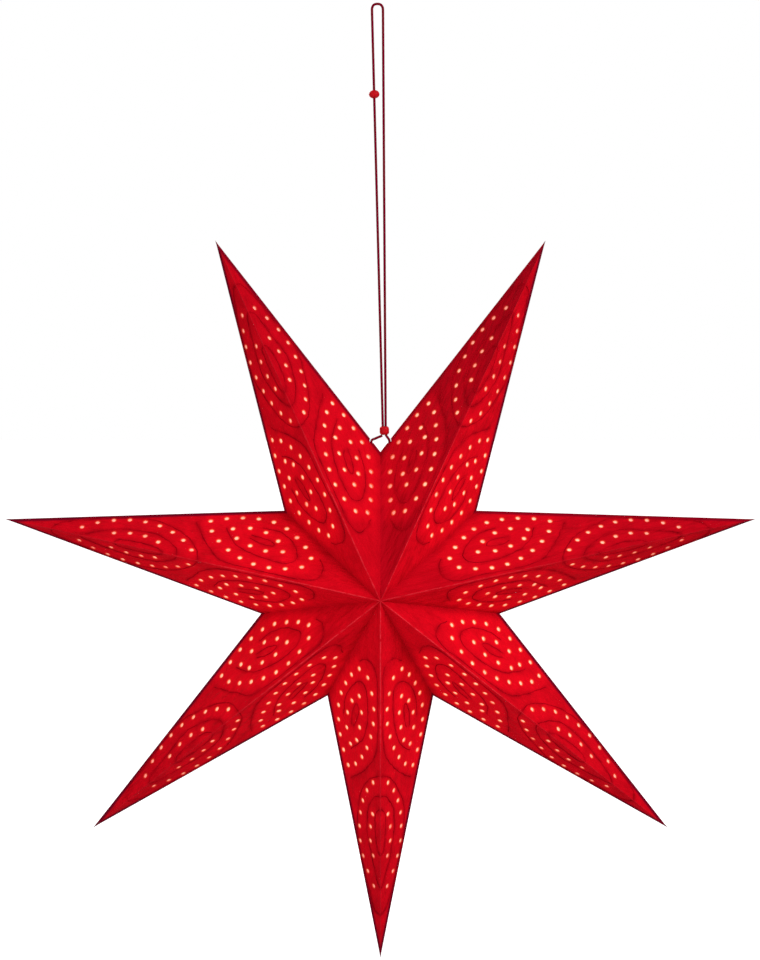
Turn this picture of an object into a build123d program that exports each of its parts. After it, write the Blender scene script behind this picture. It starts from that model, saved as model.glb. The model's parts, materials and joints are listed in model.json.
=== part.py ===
from build123d import *
from math import cos, pi, radians, sin, tan
import os

# Paper star lantern: a seven-pointed star of creased, punched paper, hung by a cord, with a lamp inside.
# Millimetres, +Z up, the star's front towards -Y. The origin is the inside top of the cord's loop.

os.makedirs("parts", exist_ok=True)

# Star
point_count = 7
tip_radius = 385.0
valley_radius = 124.3
half_depth = 100.0
point_droop = 2.7  # degrees that a level point hangs under its even place
seam_draw = 0.9  # degrees that the cord draws each of the two top points inwards
seam_pull = 12.7  # the cord draws the top valley this much further out
star_drop = 580.0  # from the hook down to the star's centre
star_offset = 3.0  # the star's centre hangs this far right of the hook

# Paper and its creases
paper = 0.4
edge_gap = 0.12  # from a panel's edge to the middle of its crease
back_gap = 0.3  # the same along the back creases, which have no hinge
ridge_folded = 13.0  # smallest angle between two panels at a ridge, folded
valley_folded = 18.0  # smallest angle between two panels at a valley, folded
side_open = 95.0  # smallest angle between a front and a back panel, open

# Punched leaves: places on a panel are shares of its ridge and of its valley crease, both from the apex
dot_diameter = 4.0
leaf_ring = [(0.293, 0.615), (0.162, 0.765), (0.072, 0.778), (0.056, 0.619), (0.103, 0.314), (0.225, 0.145),
             (0.312, 0.15), (0.337, 0.283), (0.325, 0.47)]
leaf_heart = [(0.245, 0.564), (0.176, 0.628), (0.133, 0.54), (0.149, 0.402), (0.202, 0.354), (0.24, 0.371)]
crown_ring = [(0.459, 0.139), (0.51, 0.397), (0.76, 0.125)]
crown_heart = [(0.547, 0.146), (0.59, 0.193), (0.669, 0.138)]
leaf_ring_dots = 17
leaf_heart_dots = 8
crown_ring_dots = 9
crown_heart_dots = 4

# Cord
cord_diameter = 2.5
loop_radius = 5.5  # middle of the cord, round the hook
strand_gap = 0.2  # between the two strands under the cinch bead
tie_hole_diameter = 7.0
tie_hole_from_valley = 15.0  # along the side crease
tie_bend = 3.0  # radius of the cord where it goes through the paper
eye_bend = 3.5  # radius of the cord where it carries the lamp's eye
eye_drop = 25.0  # the cord in the lamp's eye, below the top valley
eye_run = 6.0  # half the cord's level stretch in the eye
tie_split = 1.6  # the cord's two pieces meet this far left of the eye
tie_gap = 0.4  # between the ends of the two pieces

# Beads
cinch_rise = 21.6  # above the top valley
cinch_side = 4.0  # right of the star's centre
cinch_diameter = 9.6
cinch_height = 9.0
cinch_bore = 6.4
cinch_round = 3.0
stop_bead_drop = 87.0  # below the hook
stop_bead_diameter = 10.6
stop_bead_height = 8.4
bead_running_gap = 0.1

# Lamp holder
eye_wire = 1.8
eye_inside = 6.0
eye_shank = 4.0
eye_neck = 5.0  # from the ring down to the flange
eye_flange_diameter = 8.0
eye_flange = 1.5
nut_flats = 7.0
nut_height = 3.0
cap_top_diameter = 13.0
cap_dome = 13.0
cap_skirt = 16.0
cap_wall = 2.0
holder_diameter = 29.0
holder_wall = 2.1
holder_length = 34.0
neck_length = 6.0
neck_wall = 1.8
shoulder_height = 2.0
fit_gap = 0.2
inlet_diameter = 6.4
inlet_wall = 2.2
inlet_reach = 5.0  # the boss stands this far out of the cap
inlet_depth = 17.5  # the inlet's axis, below the cap's top
block_height = 8.0
shell_inside = 14.2
shell_wall = 0.4
shell_length = 18.0
contact_diameter = 6.0
contact_height = 2.5
terminal_spread = 14.0
terminal_diameter = 5.0
terminal_height = 2.0

# Bulb
screw_cap_diameter = 13.6
screw_cap_length = 14.0
screw_cap_wall = 0.4
insulator_diameter = 8.0
insulator_height = 1.6
tip_contact_diameter = 4.8
tip_contact_height = 0.8
collar_length = 16.0
collar_top_diameter = 17.0
collar_bottom_diameter = 28.0
bulb_diameter = 35.0
bulb_length = 70.0
bulb_widest = 22.0  # below the collar
bulb_glass_wall = 0.8
stem_diameter = 3.0
stem_foot_diameter = 16.0
stem_foot_height = 6.0
filament_diameter = 1.6
filament_length = 36.0
filament_circle = 11.0
filament_count = 4
filament_rise = 6.0  # the upper star of wires, below the collar
star_wire = 0.8

# Places worked out from the sizes above
centre = Vector(star_offset, 0, -star_drop)
front_apex = centre - Vector(0, half_depth, 0)
back_apex = centre + Vector(0, half_depth, 0)
cord_radius = cord_diameter / 2
ridge_bevel = paper / 2 / tan(radians(ridge_folded / 2))
valley_bevel = paper / 2 / tan(radians(valley_folded / 2))
side_bevel = paper / 2 / tan(radians(side_open / 2))


def spoke(radius, turn):
    """A place in the star's middle plane, turned clockwise from the top seam, in degrees."""
    return centre + Vector(radius * sin(radians(turn)), 0, radius * cos(radians(turn)))


def tip(number):
    turn = (number - 0.5) * 360 / point_count
    reach = sin(radians(turn))
    turn += point_droop * reach * abs(reach)
    if number == 1:
        turn -= seam_draw
    if number == point_count:
        turn += seam_draw
    return spoke(tip_radius, turn)


def valley(number):
    at_seam = number % point_count == 0
    return spoke(valley_radius + (seam_pull if at_seam else 0), number * 360 / point_count)


def save(builder, label):
    builder.part.label = label
    export_step(builder.part, f"parts/{label}.step")


# Paper panels


def inset_corner(corner, end_a, end_b, inset_a, inset_b):
    """The corner after the edge to end_a moves in by inset_a and the edge to end_b by inset_b."""
    along_a = (end_a - corner).normalized()
    along_b = (end_b - corner).normalized()
    spread = sin(radians(along_a.get_angle(along_b)))
    return corner + along_a * (inset_b / spread) + along_b * (inset_a / spread)


def inset_triangle(apex, point, hollow, ridge, side, seam):
    return [
        inset_corner(apex, point, hollow, ridge, seam),
        inset_corner(point, apex, hollow, ridge, side),
        inset_corner(hollow, apex, point, seam, side),
    ]


def dots_along(curve, count, closed):
    """Evenly spaced places along a curve: all round a closed one, from end to end of an open one."""
    steps = count if closed else count - 1
    return [curve.edge() @ (i / steps) for i in range(count)]


def leaf_dots(point, hollow):
    """Dot centres on a panel with its apex at the origin: a leaf, and half a leaf on the ridge."""
    def places(shares):
        return [point * along + hollow * across for along, across in shares]

    with BuildLine() as ring:
        Spline(*places(leaf_ring), periodic=True)
    with BuildLine() as heart:
        Spline(*places(leaf_heart), periodic=True)
    with BuildLine() as crown:
        ThreePointArc(*places(crown_ring))
    with BuildLine() as crown_middle:
        ThreePointArc(*places(crown_heart))
    return (
        dots_along(ring, leaf_ring_dots, True)
        + dots_along(heart, leaf_heart_dots, True)
        + dots_along(crown, crown_ring_dots, False)
        + dots_along(crown_middle, crown_heart_dots, False)
    )


def tie_hole(point, hollow):
    """Where the cord goes through a seam flank: a plane on its side crease, square to it."""
    crease = (point - hollow).normalized()
    place = hollow + crease * tie_hole_from_valley
    return Plane(origin=place, x_dir=crease, z_dir=crease.cross(Vector(0, 1, 0)))


def paper_panel(label, apex, point, hollow, gap, at_seam):
    ridge_line = (point - apex).normalized()
    normal = ridge_line.cross(hollow - apex)
    outward = normal if normal.dot(apex - centre) > 0 else -normal
    face = Plane(origin=apex, x_dir=ridge_line, z_dir=outward)
    corners = [face.to_local_coords(place) for place in (apex, point, hollow)]
    outer = inset_triangle(*corners, ridge=gap, side=edge_gap, seam=gap + valley_bevel)
    inner = inset_triangle(*corners, ridge=gap + ridge_bevel, side=edge_gap + side_bevel, seam=gap)
    with BuildPart() as panel:
        with BuildSketch(face.offset(paper / 2)):
            with BuildLine():
                Polyline(*outer, close=True)
            make_face()
        with BuildSketch(face.offset(-paper / 2)):
            with BuildLine():
                Polyline(*inner, close=True)
            make_face()
        loft(ruled=True)
        with BuildSketch(face):
            with Locations(*leaf_dots(*corners[1:])):
                Circle(dot_diameter / 2)
        extrude(amount=paper, both=True, mode=Mode.SUBTRACT)
        if at_seam:
            with Locations(tie_hole(point, hollow)):
                Cylinder(tie_hole_diameter / 2, 2 * tie_hole_diameter, mode=Mode.SUBTRACT)
    save(panel, label)


for number in range(1, point_count + 1):
    for side, hollow, at_seam in (
        ("left", valley(number - 1), number == 1),
        ("right", valley(number), number == point_count),
    ):
        paper_panel(f"point_{number}_front_{side}", front_apex, tip(number), hollow, edge_gap, at_seam)
        paper_panel(f"point_{number}_back_{side}", back_apex, tip(number), hollow, back_gap, at_seam)

# Cord: through the right flank, up through the cinch bead, round the hook and down to the bead again

right_hole = tie_hole(tip(1), valley(0)).origin
left_hole = tie_hole(tip(point_count), valley(0)).origin
cinch = valley(0) + Vector(cinch_side, 0, cinch_rise)
strand_side = Vector((cord_diameter + strand_gap) / 2, 0, 0)
cinch_foot = cinch - Vector(0, 0, cinch_height / 2)
loop_top = Vector(0, 0, cord_radius)
loop_side = Vector(loop_radius, 0, 0)
eye_level = valley(0) - Vector(0, 0, eye_drop)
eye_side = Vector(eye_run, 0, 0)
split_place = eye_level - Vector(tie_split, 0, 0)
tie_start = cinch_foot - strand_side - Vector(cord_radius, 0, cord_radius)


def cord_tube(label, points, radii):
    with BuildPart() as cord:
        with BuildLine() as route:
            FilletPolyline(*points, radius=radii)
        with BuildSketch(Plane(origin=route.wire() @ 0, z_dir=route.wire() % 0)):
            Circle(cord_diameter / 2)
        sweep()
    length = route.wire().length
    share = cord.part.volume / (pi * cord_radius**2 * length)
    print(f"{label}: {length:.1f} mm long, radii {radii}, volume over section times length {share:.4f}")
    save(cord, label)


cord_tube(
    "hanging_cord",
    [
        split_place,
        eye_level + eye_side,
        right_hole,
        cinch_foot + strand_side,
        loop_top + loop_side,
        loop_top - loop_side,
        cinch_foot - strand_side,
    ],
    [eye_bend, tie_bend, tie_bend, loop_radius - strand_gap, loop_radius - strand_gap],
)
cord_tube(
    "left_tie",
    [tie_start, left_hole, eye_level - eye_side, split_place - Vector(tie_gap, 0, 0)],
    [tie_bend, eye_bend],
)

# Beads

left_strand = (loop_top - loop_side) - (cinch_foot - strand_side)
right_strand = (loop_top + loop_side) - (cinch_foot + strand_side)
cinch_axis = (left_strand + right_strand).normalized()
stop_axis = left_strand.normalized()
stop_bead_place = loop_top - loop_side - stop_axis * ((stop_bead_drop + loop_top.Z) / stop_axis.Z)


def across(axis):
    """A direction square to an axis that lies in the star's middle plane."""
    return Vector(axis.Z, 0, -axis.X)


def bead_bore(radius, height):
    """Cuts a bead's half section back to its bore."""
    with Locations((radius, 0)):
        Rectangle(4 * radius + height, 2 * height, align=(Align.MAX, Align.CENTER), mode=Mode.SUBTRACT)


with BuildPart() as cinch_bead:
    with BuildSketch(Plane(origin=cinch, x_dir=across(cinch_axis), z_dir=(0, -1, 0))):
        RectangleRounded(cinch_diameter, cinch_height, cinch_round)
        bead_bore(cinch_bore / 2, cinch_height)
    revolve(axis=Axis(cinch, cinch_axis))
save(cinch_bead, "cinch_bead")

with BuildPart() as stop_bead:
    with BuildSketch(Plane(origin=stop_bead_place, x_dir=across(stop_axis), z_dir=(0, -1, 0))):
        Ellipse(stop_bead_diameter / 2, stop_bead_height / 2)
        bead_bore(cord_radius + bead_running_gap, stop_bead_height)
    revolve(axis=Axis(stop_bead_place, stop_axis))
save(stop_bead, "stop_bead")

# Lamp: heights down the star's upright axis

ring_radius = (eye_inside + eye_wire) / 2
ring_centre = eye_level.Z + cord_radius + fit_gap - eye_inside / 2
ring_foot = ring_centre - ring_radius
flange_top = ring_foot - eye_neck
cap_top = flange_top - eye_flange
nut_top = cap_top - cap_wall
shank_foot = nut_top - nut_height - cap_wall
dome_foot = cap_top - cap_dome
holder_top = dome_foot - cap_skirt
neck_top = holder_top + neck_length
holder_foot = holder_top - holder_length
shoulder = holder_top - shoulder_height
block_top = shoulder - fit_gap
block_foot = block_top - block_height
shell_foot = block_foot - shell_length
contact_foot = block_foot - contact_height
bulb_top = contact_foot - fit_gap
insulator_top = bulb_top - tip_contact_height
screw_cap_top = insulator_top - insulator_height
collar_top = screw_cap_top - screw_cap_length
collar_foot = collar_top - collar_length
bulb_foot = collar_foot - bulb_length
upper_wires = collar_foot - filament_rise
lower_wires = upper_wires - filament_length

holder_radius = holder_diameter / 2
holder_bore = holder_radius - holder_wall
cap_bore = holder_radius - cap_wall
neck_radius = cap_bore - fit_gap
neck_bore = neck_radius - neck_wall
block_radius = holder_bore - fit_gap
shank_radius = eye_shank / 2
shell_bore = shell_inside / 2

lamp_plane = Plane(origin=(star_offset, 0, 0), x_dir=(1, 0, 0), z_dir=(0, -1, 0))
lamp_axis = Axis((star_offset, 0, 0), (0, 0, 1))


def lamp_level(height):
    return Plane(origin=(star_offset, 0, height))


def turned(profile):
    """A round piece from half of its section, given as (radius, height) corners."""
    with BuildPart() as piece:
        with BuildSketch(lamp_plane):
            with BuildLine():
                Polyline(*profile, close=True)
            make_face()
        revolve(axis=lamp_axis)
    return piece


def turned_disc(radius, top, foot):
    return turned([(0, foot), (radius, foot), (radius, top), (0, top)])


def turned_tube(bore, wall, top, foot):
    return turned([(bore, foot), (bore + wall, foot), (bore + wall, top), (bore, top)])


with BuildPart() as hanging_eye:
    with Locations(Plane(origin=(star_offset, 0, ring_centre), z_dir=(1, 0, 0))):
        Torus(ring_radius, eye_wire / 2)
    with BuildSketch(lamp_plane):
        with BuildLine():
            Polyline(
                (0, ring_foot), (shank_radius, ring_foot), (shank_radius, flange_top),
                (eye_flange_diameter / 2, flange_top), (eye_flange_diameter / 2, cap_top),
                (shank_radius, cap_top), (shank_radius, shank_foot), (0, shank_foot),
                close=True,
            )
        make_face()
    revolve(axis=lamp_axis)
save(hanging_eye, "hanging_eye")

with BuildPart() as eye_nut:
    with BuildSketch(lamp_level(nut_top)):
        RegularPolygon(nut_flats / 2, 6, major_radius=False)
        Circle(shank_radius, mode=Mode.SUBTRACT)
    extrude(amount=-nut_height)
save(eye_nut, "eye_nut")

with BuildPart() as lampholder_cap:
    with BuildSketch(lamp_plane):
        with BuildLine():
            Polyline(
                (shank_radius + fit_gap, cap_top), (cap_top_diameter / 2, cap_top),
                (holder_radius, dome_foot), (holder_radius, holder_top),
                (cap_bore, holder_top), (cap_bore, dome_foot),
                (cap_top_diameter / 2 - cap_wall / 2, nut_top), (shank_radius + fit_gap, nut_top),
                close=True,
            )
        make_face()
    revolve(axis=lamp_axis)
    inlet_plane = Plane(origin=(star_offset, cap_bore, cap_top - inlet_depth), z_dir=(0, 1, 0))
    with BuildSketch(inlet_plane):
        Circle(inlet_diameter / 2 + inlet_wall)
    extrude(amount=cap_wall + inlet_reach)
    with BuildSketch(inlet_plane.offset(-cap_wall)):
        Circle(inlet_diameter / 2)
    extrude(amount=2 * cap_wall + inlet_reach, mode=Mode.SUBTRACT)
save(lampholder_cap, "lampholder_cap")

lampholder_body = turned(
    [
        (holder_bore, holder_foot), (holder_radius, holder_foot), (holder_radius, holder_top),
        (neck_radius, holder_top), (neck_radius, neck_top), (neck_bore, neck_top),
        (neck_bore, shoulder), (holder_bore, shoulder),
    ]
)
save(lampholder_body, "lampholder_body")

save(turned_disc(block_radius, block_top, block_foot), "contact_block")
save(turned_tube(shell_bore, shell_wall, block_foot, shell_foot), "screw_shell")
save(turned_disc(contact_diameter / 2, block_foot, contact_foot), "centre_contact")

with BuildPart() as terminal_screws:
    with BuildSketch(lamp_level(block_top)):
        with GridLocations(terminal_spread, 0, 2, 1):
            Circle(terminal_diameter / 2)
    extrude(amount=terminal_height)
save(terminal_screws, "terminal_screws")

# Bulb

save(turned_disc(tip_contact_diameter / 2, bulb_top, insulator_top), "bulb_contact")
save(turned_disc(insulator_diameter / 2, insulator_top, screw_cap_top), "bulb_insulator")
screw_cap = turned(
    [
        (0, screw_cap_top), (screw_cap_diameter / 2, screw_cap_top), (screw_cap_diameter / 2, collar_top),
        (screw_cap_diameter / 2 - screw_cap_wall, collar_top),
        (screw_cap_diameter / 2 - screw_cap_wall, screw_cap_top - screw_cap_wall),
        (0, screw_cap_top - screw_cap_wall),
    ]
)
save(screw_cap, "bulb_screw_cap")
bulb_collar = turned(
    [
        (0, collar_foot), (collar_bottom_diameter / 2, collar_foot), (collar_top_diameter / 2, collar_top),
        (0, collar_top),
    ]
)
save(bulb_collar, "bulb_collar")


def candle_line(inset):
    """Half the bulb's outline, from its collar to its tip, moved in by inset."""
    return Spline(
        (collar_bottom_diameter / 2 - inset, collar_foot),
        (bulb_diameter / 2 - inset, collar_foot - bulb_widest),
        (0, bulb_foot + inset),
        tangents=[(0.4, -1), (-1, -0.4)],
    )


with BuildPart() as bulb_glass:
    with BuildSketch(lamp_plane):
        with BuildLine():
            outside = candle_line(0)
            inside = candle_line(bulb_glass_wall)
            Line(outside @ 0, inside @ 0)
            Line(outside @ 1, inside @ 1)
        make_face()
    revolve(axis=lamp_axis)
save(bulb_glass, "bulb_glass")

wire_radius = (filament_circle + filament_diameter) / 2
stem_radius = stem_diameter / 2
filament_stem = turned(
    [
        (0, collar_foot), (stem_foot_diameter / 2, collar_foot),
        (stem_radius, collar_foot - stem_foot_height),
        (stem_radius, upper_wires + star_wire), (wire_radius, upper_wires + star_wire),
        (wire_radius, upper_wires), (stem_radius, upper_wires), (stem_radius, lower_wires),
        (wire_radius, lower_wires), (wire_radius, lower_wires - star_wire),
        (0, lower_wires - star_wire),
    ]
)
save(filament_stem, "filament_stem")

with BuildPart() as filaments:
    with BuildSketch(lamp_level(lower_wires)):
        with PolarLocations(filament_circle / 2, filament_count):
            Circle(filament_diameter / 2)
    extrude(amount=filament_length)
save(filaments, "filaments")
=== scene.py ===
"""Paper star lantern: a seven-pointed star of creased, punched red paper on a cord, with a lamp inside."""

import json
import math
from collections import namedtuple

import bpy
import numpy as np
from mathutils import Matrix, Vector, geometry, noise


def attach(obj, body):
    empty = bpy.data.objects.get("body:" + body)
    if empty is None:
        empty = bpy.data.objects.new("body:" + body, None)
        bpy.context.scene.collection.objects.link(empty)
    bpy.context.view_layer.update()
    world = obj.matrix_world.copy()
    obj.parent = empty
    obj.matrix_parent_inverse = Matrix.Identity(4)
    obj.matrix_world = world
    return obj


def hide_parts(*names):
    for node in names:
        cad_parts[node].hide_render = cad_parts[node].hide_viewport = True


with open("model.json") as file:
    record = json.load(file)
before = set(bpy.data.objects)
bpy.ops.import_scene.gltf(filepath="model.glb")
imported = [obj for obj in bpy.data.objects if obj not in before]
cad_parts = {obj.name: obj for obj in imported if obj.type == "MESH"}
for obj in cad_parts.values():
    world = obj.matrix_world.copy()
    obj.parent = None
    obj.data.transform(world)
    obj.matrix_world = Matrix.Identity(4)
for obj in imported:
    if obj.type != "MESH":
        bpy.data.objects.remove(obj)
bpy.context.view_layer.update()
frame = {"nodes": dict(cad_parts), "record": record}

# Star, in metres
POINT_COUNT = 7
TIP_RADIUS = 0.385
VALLEY_RADIUS = 0.1243
POINT_DROOP = 2.7
SEAM_DRAW = 0.9
SEAM_PULL = 0.0127
HALF_DEPTH = 0.100
CENTRE = Vector((0.003, 0.0, -0.580))

# Paper sheet
PAPER = 0.0004
GRID_STEP = 0.005
EDGE_STEP = 0.005
MESH_GAP = 0.0016
SHARP_ANGLE = 40.0
WAVE_HEIGHT = 0.0010
FINE_WAVES = 0.3
WAVE_SCALE = 26.0
WAVE_FADE = 0.014
PUCKER_DEPTH = 0.0007
PUCKER_REACH = 0.004

# Punched dots
DOT_SIDES = 14
DOT_TEAR = 0.0001
DOT_APART = 0.0045
DOT_LEAST_FACES = 8
WALL_LEAN = 0.2
DOT_HALO = 0.0014
HALO_SIDES = 10
HALO_STITCH_GAP = 0.0006
HALO_GRID_GAP = 0.0012
HALO_EDGE_GAP = 0.0008

# Creases: how round they are, the room that the folded star needs there, and the paper pressed thin
ON_CREASE = 1e-6
RIDGE_ROUND = 0.0001
RIDGE_REACH = 0.005
VALLEY_ROUND = 0.0004
SEAM_ROUND = 0.0030
VALLEY_REACH = 0.012
CREASE_END_FADE = 0.02
CREASE_CROSS_FADE = 0.01
RIDGE_ROOM = 0.10
VALLEY_ROOM = 0.14
WAVE_ROOM_SHARE = 0.35
LINING_ROOM_SHARE = 0.5
CREASE_PRESS = 0.00015
EDGE_SHARE = 0.1
LEAST_SHARE = 0.25

# Tie holes beside the seam
TIE_HOLE_RADIUS = 0.0026
TIE_SLANT = 0.0009
TIE_HOLE_FROM_VALLEY = 0.0150
NOTCH_PLACES = 9

# Panels darkened as a whole, and by how much
DULL_PANELS = {
    "point_1_front_left": 0.85, "point_2_front_left": 0.45, "point_7_front_right": 0.3,
    "point_3_front_right": 0.1, "point_1_back_right": 0.5, "point_4_back_left": 0.3,
    "point_6_back_right": 0.25,
}

# Stitched thread and lining
THREAD_RADIUS = 0.0005
STITCH = 0.0032
THREAD_LIFT = 0.0003
THREAD_PINCH = 0.7
THREAD_FLAT = 0.8
LINING = 0.00012
LINING_DEPTH = 0.0008
LINING_STEP = 0.005
LINING_INSET = 0.0050
LINING_FROM_RIDGE = 0.0080
LINING_FROM_SIDE = 0.0025
LINING_FROM = 0.070
LINING_TO = 0.338
# Reach of the painted shade on the lining's light near the top seam valley
SEAM_SHADE_REACH = 0.056

# Stitch lines, drawn on an even panel as (along the ridge from the apex, across from the ridge)
EVEN_TIP = 0.3978
EVEN_HOLLOW = (0.1307, 0.0870)
STITCH_WANDER = 0.0028
WANDER_SCALE = 32.0
WANDER_SEEDS = (7.0, 19.0)
STITCH_SHAKE = 0.0009
STITCH_CLEAR = 0.0012
SHAKE_SCALE = 150.0
SHAKE_SEEDS = (31.0, 43.0)
CALM_AT_RIDGE = 0.006
CURVE_SHARES = 24
BASE_LEAF = [(0.2090, 0.0480), (0.1990, 0.0350), (0.1870, 0.0215), (0.1680, 0.0075), (0.1400, 0.0040),
             (0.1050, 0.0042), (0.0830, 0.0046), (0.0705, 0.0110), (0.0690, 0.0240), (0.0745, 0.0345)]
BASE_DROP = [(0.1780, 0.0495), (0.1690, 0.0380), (0.1560, 0.0275), (0.1330, 0.0215), (0.1040, 0.0220),
             (0.0960, 0.0330), (0.1070, 0.0485), (0.1250, 0.0575), (0.1420, 0.0590)]
BASE_LOOP = [(0.1500, 0.0470), (0.1370, 0.0455), (0.1260, 0.0420), (0.1240, 0.0385), (0.1320, 0.0370),
             (0.1430, 0.0385), (0.1500, 0.0420)]
CROWN_LEAF = [(0.1900, 0.0015), (0.1960, 0.0140), (0.2120, 0.0275), (0.2360, 0.0370), (0.2640, 0.0388),
              (0.2980, 0.0293), (0.3280, 0.0182), (0.3450, 0.0095), (0.3480, 0.0012)]
CROWN_DROP = [(0.2120, 0.0015), (0.2180, 0.0100), (0.2360, 0.0205), (0.2600, 0.0230), (0.2850, 0.0165),
              (0.3100, 0.0070), (0.3170, 0.0012)]
CROWN_LOOP = [(0.2270, 0.0012), (0.2360, 0.0060), (0.2560, 0.0078), (0.2740, 0.0055), (0.2790, 0.0012)]
STITCH_LINES = (BASE_LEAF, BASE_DROP, BASE_LOOP, CROWN_LEAF, CROWN_DROP, CROWN_LOOP)


def spoke(radius, turn):
    """A place in the star's middle plane, turned clockwise from the top seam, in degrees."""
    return CENTRE + radius * Vector((math.sin(math.radians(turn)), 0.0, math.cos(math.radians(turn))))


def tip(number):
    turn = (number - 0.5) * 360 / POINT_COUNT
    reach = math.sin(math.radians(turn))
    turn += POINT_DROOP * reach * abs(reach)
    if number == 1:
        turn -= SEAM_DRAW
    if number == POINT_COUNT:
        turn += SEAM_DRAW
    return spoke(TIP_RADIUS, turn)


def valley(number):
    pull = SEAM_PULL if number % POINT_COUNT == 0 else 0.0
    return spoke(VALLEY_RADIUS + pull, number * 360 / POINT_COUNT)


# Panels

Panel = namedtuple(
    "Panel", "name body apex point hollow along across out seam seed dots dot_radius", defaults=((), 0.0)
)


def outward_normal(apex, point, hollow):
    normal = (point - apex).cross(hollow - apex).normalized()
    return normal if normal.dot(apex - CENTRE) > 0 else -normal


def make_panel(number, face, side):
    """One flat panel: its corners, its own directions, and the dots that are punched in it."""
    apex = CENTRE + Vector((0.0, -HALF_DEPTH if face == "front" else HALF_DEPTH, 0.0))
    point = tip(number)
    hollow = valley(number - 1 if side == "left" else number)
    out = outward_normal(apex, point, hollow)
    along = (point - apex).normalized()
    across = out.cross(along)
    if across.dot(hollow - apex) < 0:
        across = -across
    name = f"point_{number}_{face}_{side}"
    body = next(b for b, nodes in frame["record"]["behaviour"]["bodies"].items() if name in nodes)
    seam = (number, side) in ((1, "left"), (POINT_COUNT, "right"))
    seed = 11.0 * number + (3.7 if side == "left" else 0.0) + (5.3 if face == "front" else 0.0)
    panel = Panel(name, body, apex, point, hollow, along, across, out, seam, seed)
    dots, radius = punched_dots(panel)
    return panel._replace(dots=dots, dot_radius=radius + DOT_TEAR)


def on_panel(panel, places):
    """Places as (along, across, out) on a panel."""
    offset = np.asarray(places) - np.array(panel.apex)
    return offset @ np.array([panel.along, panel.across, panel.out]).T


def crease_leans(panel):
    """Directions that a panel shares with its neighbour at each crease and corner, one unit out of it."""
    flat_apex = Vector((0.0, panel.apex.y - CENTRE.y, 0.0))
    leans = {}
    for crease, start, end in (
        ("ridge", panel.apex, panel.point),
        ("valley", panel.apex, panel.hollow),
        ("side", panel.hollow, panel.point),
    ):
        if crease == "side":
            mirror = Vector((0.0, 1.0, 0.0))
        else:
            mirror = flat_apex.cross(end - CENTRE).normalized()
        lean = panel.out - mirror * panel.out.dot(mirror)
        leans[crease] = lean / lean.dot(panel.out)
    for corner, lean in (
        ("apex", flat_apex), ("tip", panel.point - CENTRE), ("hollow", panel.hollow - CENTRE),
    ):
        leans[corner] = lean / lean.dot(panel.out)
    return {key: np.array(lean) for key, lean in leans.items()}


def line_distance(places, start, end):
    direction = (end - start) / np.linalg.norm(end - start)
    offset = places - start
    return np.abs(offset[:, 0] * direction[1] - offset[:, 1] * direction[0])


def smooth_step(values):
    share = np.clip(values, 0.0, 1.0)
    return share * share * (3 - 2 * share)


# Flat cutting shapes, in (along, across)


def spaced_along(line, step):
    """Places about a step apart on a fine line, and how far along it each one lies."""
    reach = np.concatenate([[0], np.cumsum(np.linalg.norm(np.diff(line, axis=0), axis=1))])
    marks = np.linspace(0, reach[-1], max(2, round(reach[-1] / step) + 1))
    return np.stack([np.interp(marks, reach, values) for values in line.T], axis=1), marks


def smooth_line(points, step):
    """A smooth curve through given points, as places about a step apart."""
    points = [np.array(point) for point in points]
    ends = [2 * points[0] - points[1], *points, 2 * points[-1] - points[-2]]
    fine = []
    for before, start, end, after in zip(ends, ends[1:], ends[2:], ends[3:]):
        for share in np.linspace(0, 1, CURVE_SHARES, endpoint=False):
            fine.append(
                0.5 * (
                    2 * start + (end - before) * share
                    + (2 * before - 5 * start + 4 * end - after) * share**2
                    + (3 * start - before - 3 * end + after) * share**3
                )
            )
    return spaced_along(np.array(fine + [ends[-2]]), step)[0]


def drift(place, scale, seed, turns):
    """A smooth random step along and across, from the place alone."""
    return [noise.noise(Vector((*place * scale, seed + turn))) for turn in turns]


def stitch_lines(panel):
    """The stitch lines of one panel: drawn for an even panel, laid in this one, never sewn quite alike."""
    apex, point, hollow = panel_corners(panel)
    lines = []
    for drawn in STITCH_LINES:
        line = []
        for along, across in drawn:
            valley_share = across / EVEN_HOLLOW[1]
            ridge_share = (along - valley_share * EVEN_HOLLOW[0]) / EVEN_TIP
            place = ridge_share * point + valley_share * hollow
            wander = drift(place, WANDER_SCALE, panel.seed, WANDER_SEEDS)
            line.append(place + STITCH_WANDER * min(1.0, across / CALM_AT_RIDGE) * np.array(wander))
        lines.append(line)
    return lines


def sewn_line(panel, line, step):
    """A stitch line as sewn by hand: a smooth curve with a slight shake, clear of the dots."""
    flat = smooth_line(line, step)
    shake = np.array([drift(place, SHAKE_SCALE, panel.seed, SHAKE_SEEDS) for place in flat])
    flat = flat + STITCH_SHAKE * shake * np.clip(flat[:, 1:] / CALM_AT_RIDGE, 0, 1)
    offset = flat[:, None] - panel.dots[None]
    gaps = np.linalg.norm(offset, axis=2)
    nearest = gaps.argmin(axis=1)
    rows = np.arange(len(flat))
    gap = gaps[rows, nearest][:, None]
    clear = panel.dot_radius + STITCH_CLEAR
    return flat + offset[rows, nearest] * np.maximum(clear / gap - 1, 0)


def stitch_places(panel, step):
    return np.concatenate([sewn_line(panel, line, step) for line in stitch_lines(panel)])


def punched_dots(panel):
    """Centres of the punched dots and their radius, read from the panel's solid."""
    mesh = frame["nodes"][panel.name].data
    walls = [p.center for p in mesh.polygons if abs(p.normal.dot(panel.out)) < WALL_LEAN]
    places = on_panel(panel, walls)[:, :2]
    dots = []
    radii = []
    while len(places):
        near = np.linalg.norm(places - places[0], axis=1) < DOT_APART
        ring = places[near]
        if len(ring) > DOT_LEAST_FACES:
            dots.append((ring.min(axis=0) + ring.max(axis=0)) / 2)
            radii.append(np.linalg.norm(ring - dots[-1], axis=1).mean())
        places = places[~near]
    return np.array(dots), float(np.median(radii))


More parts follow.
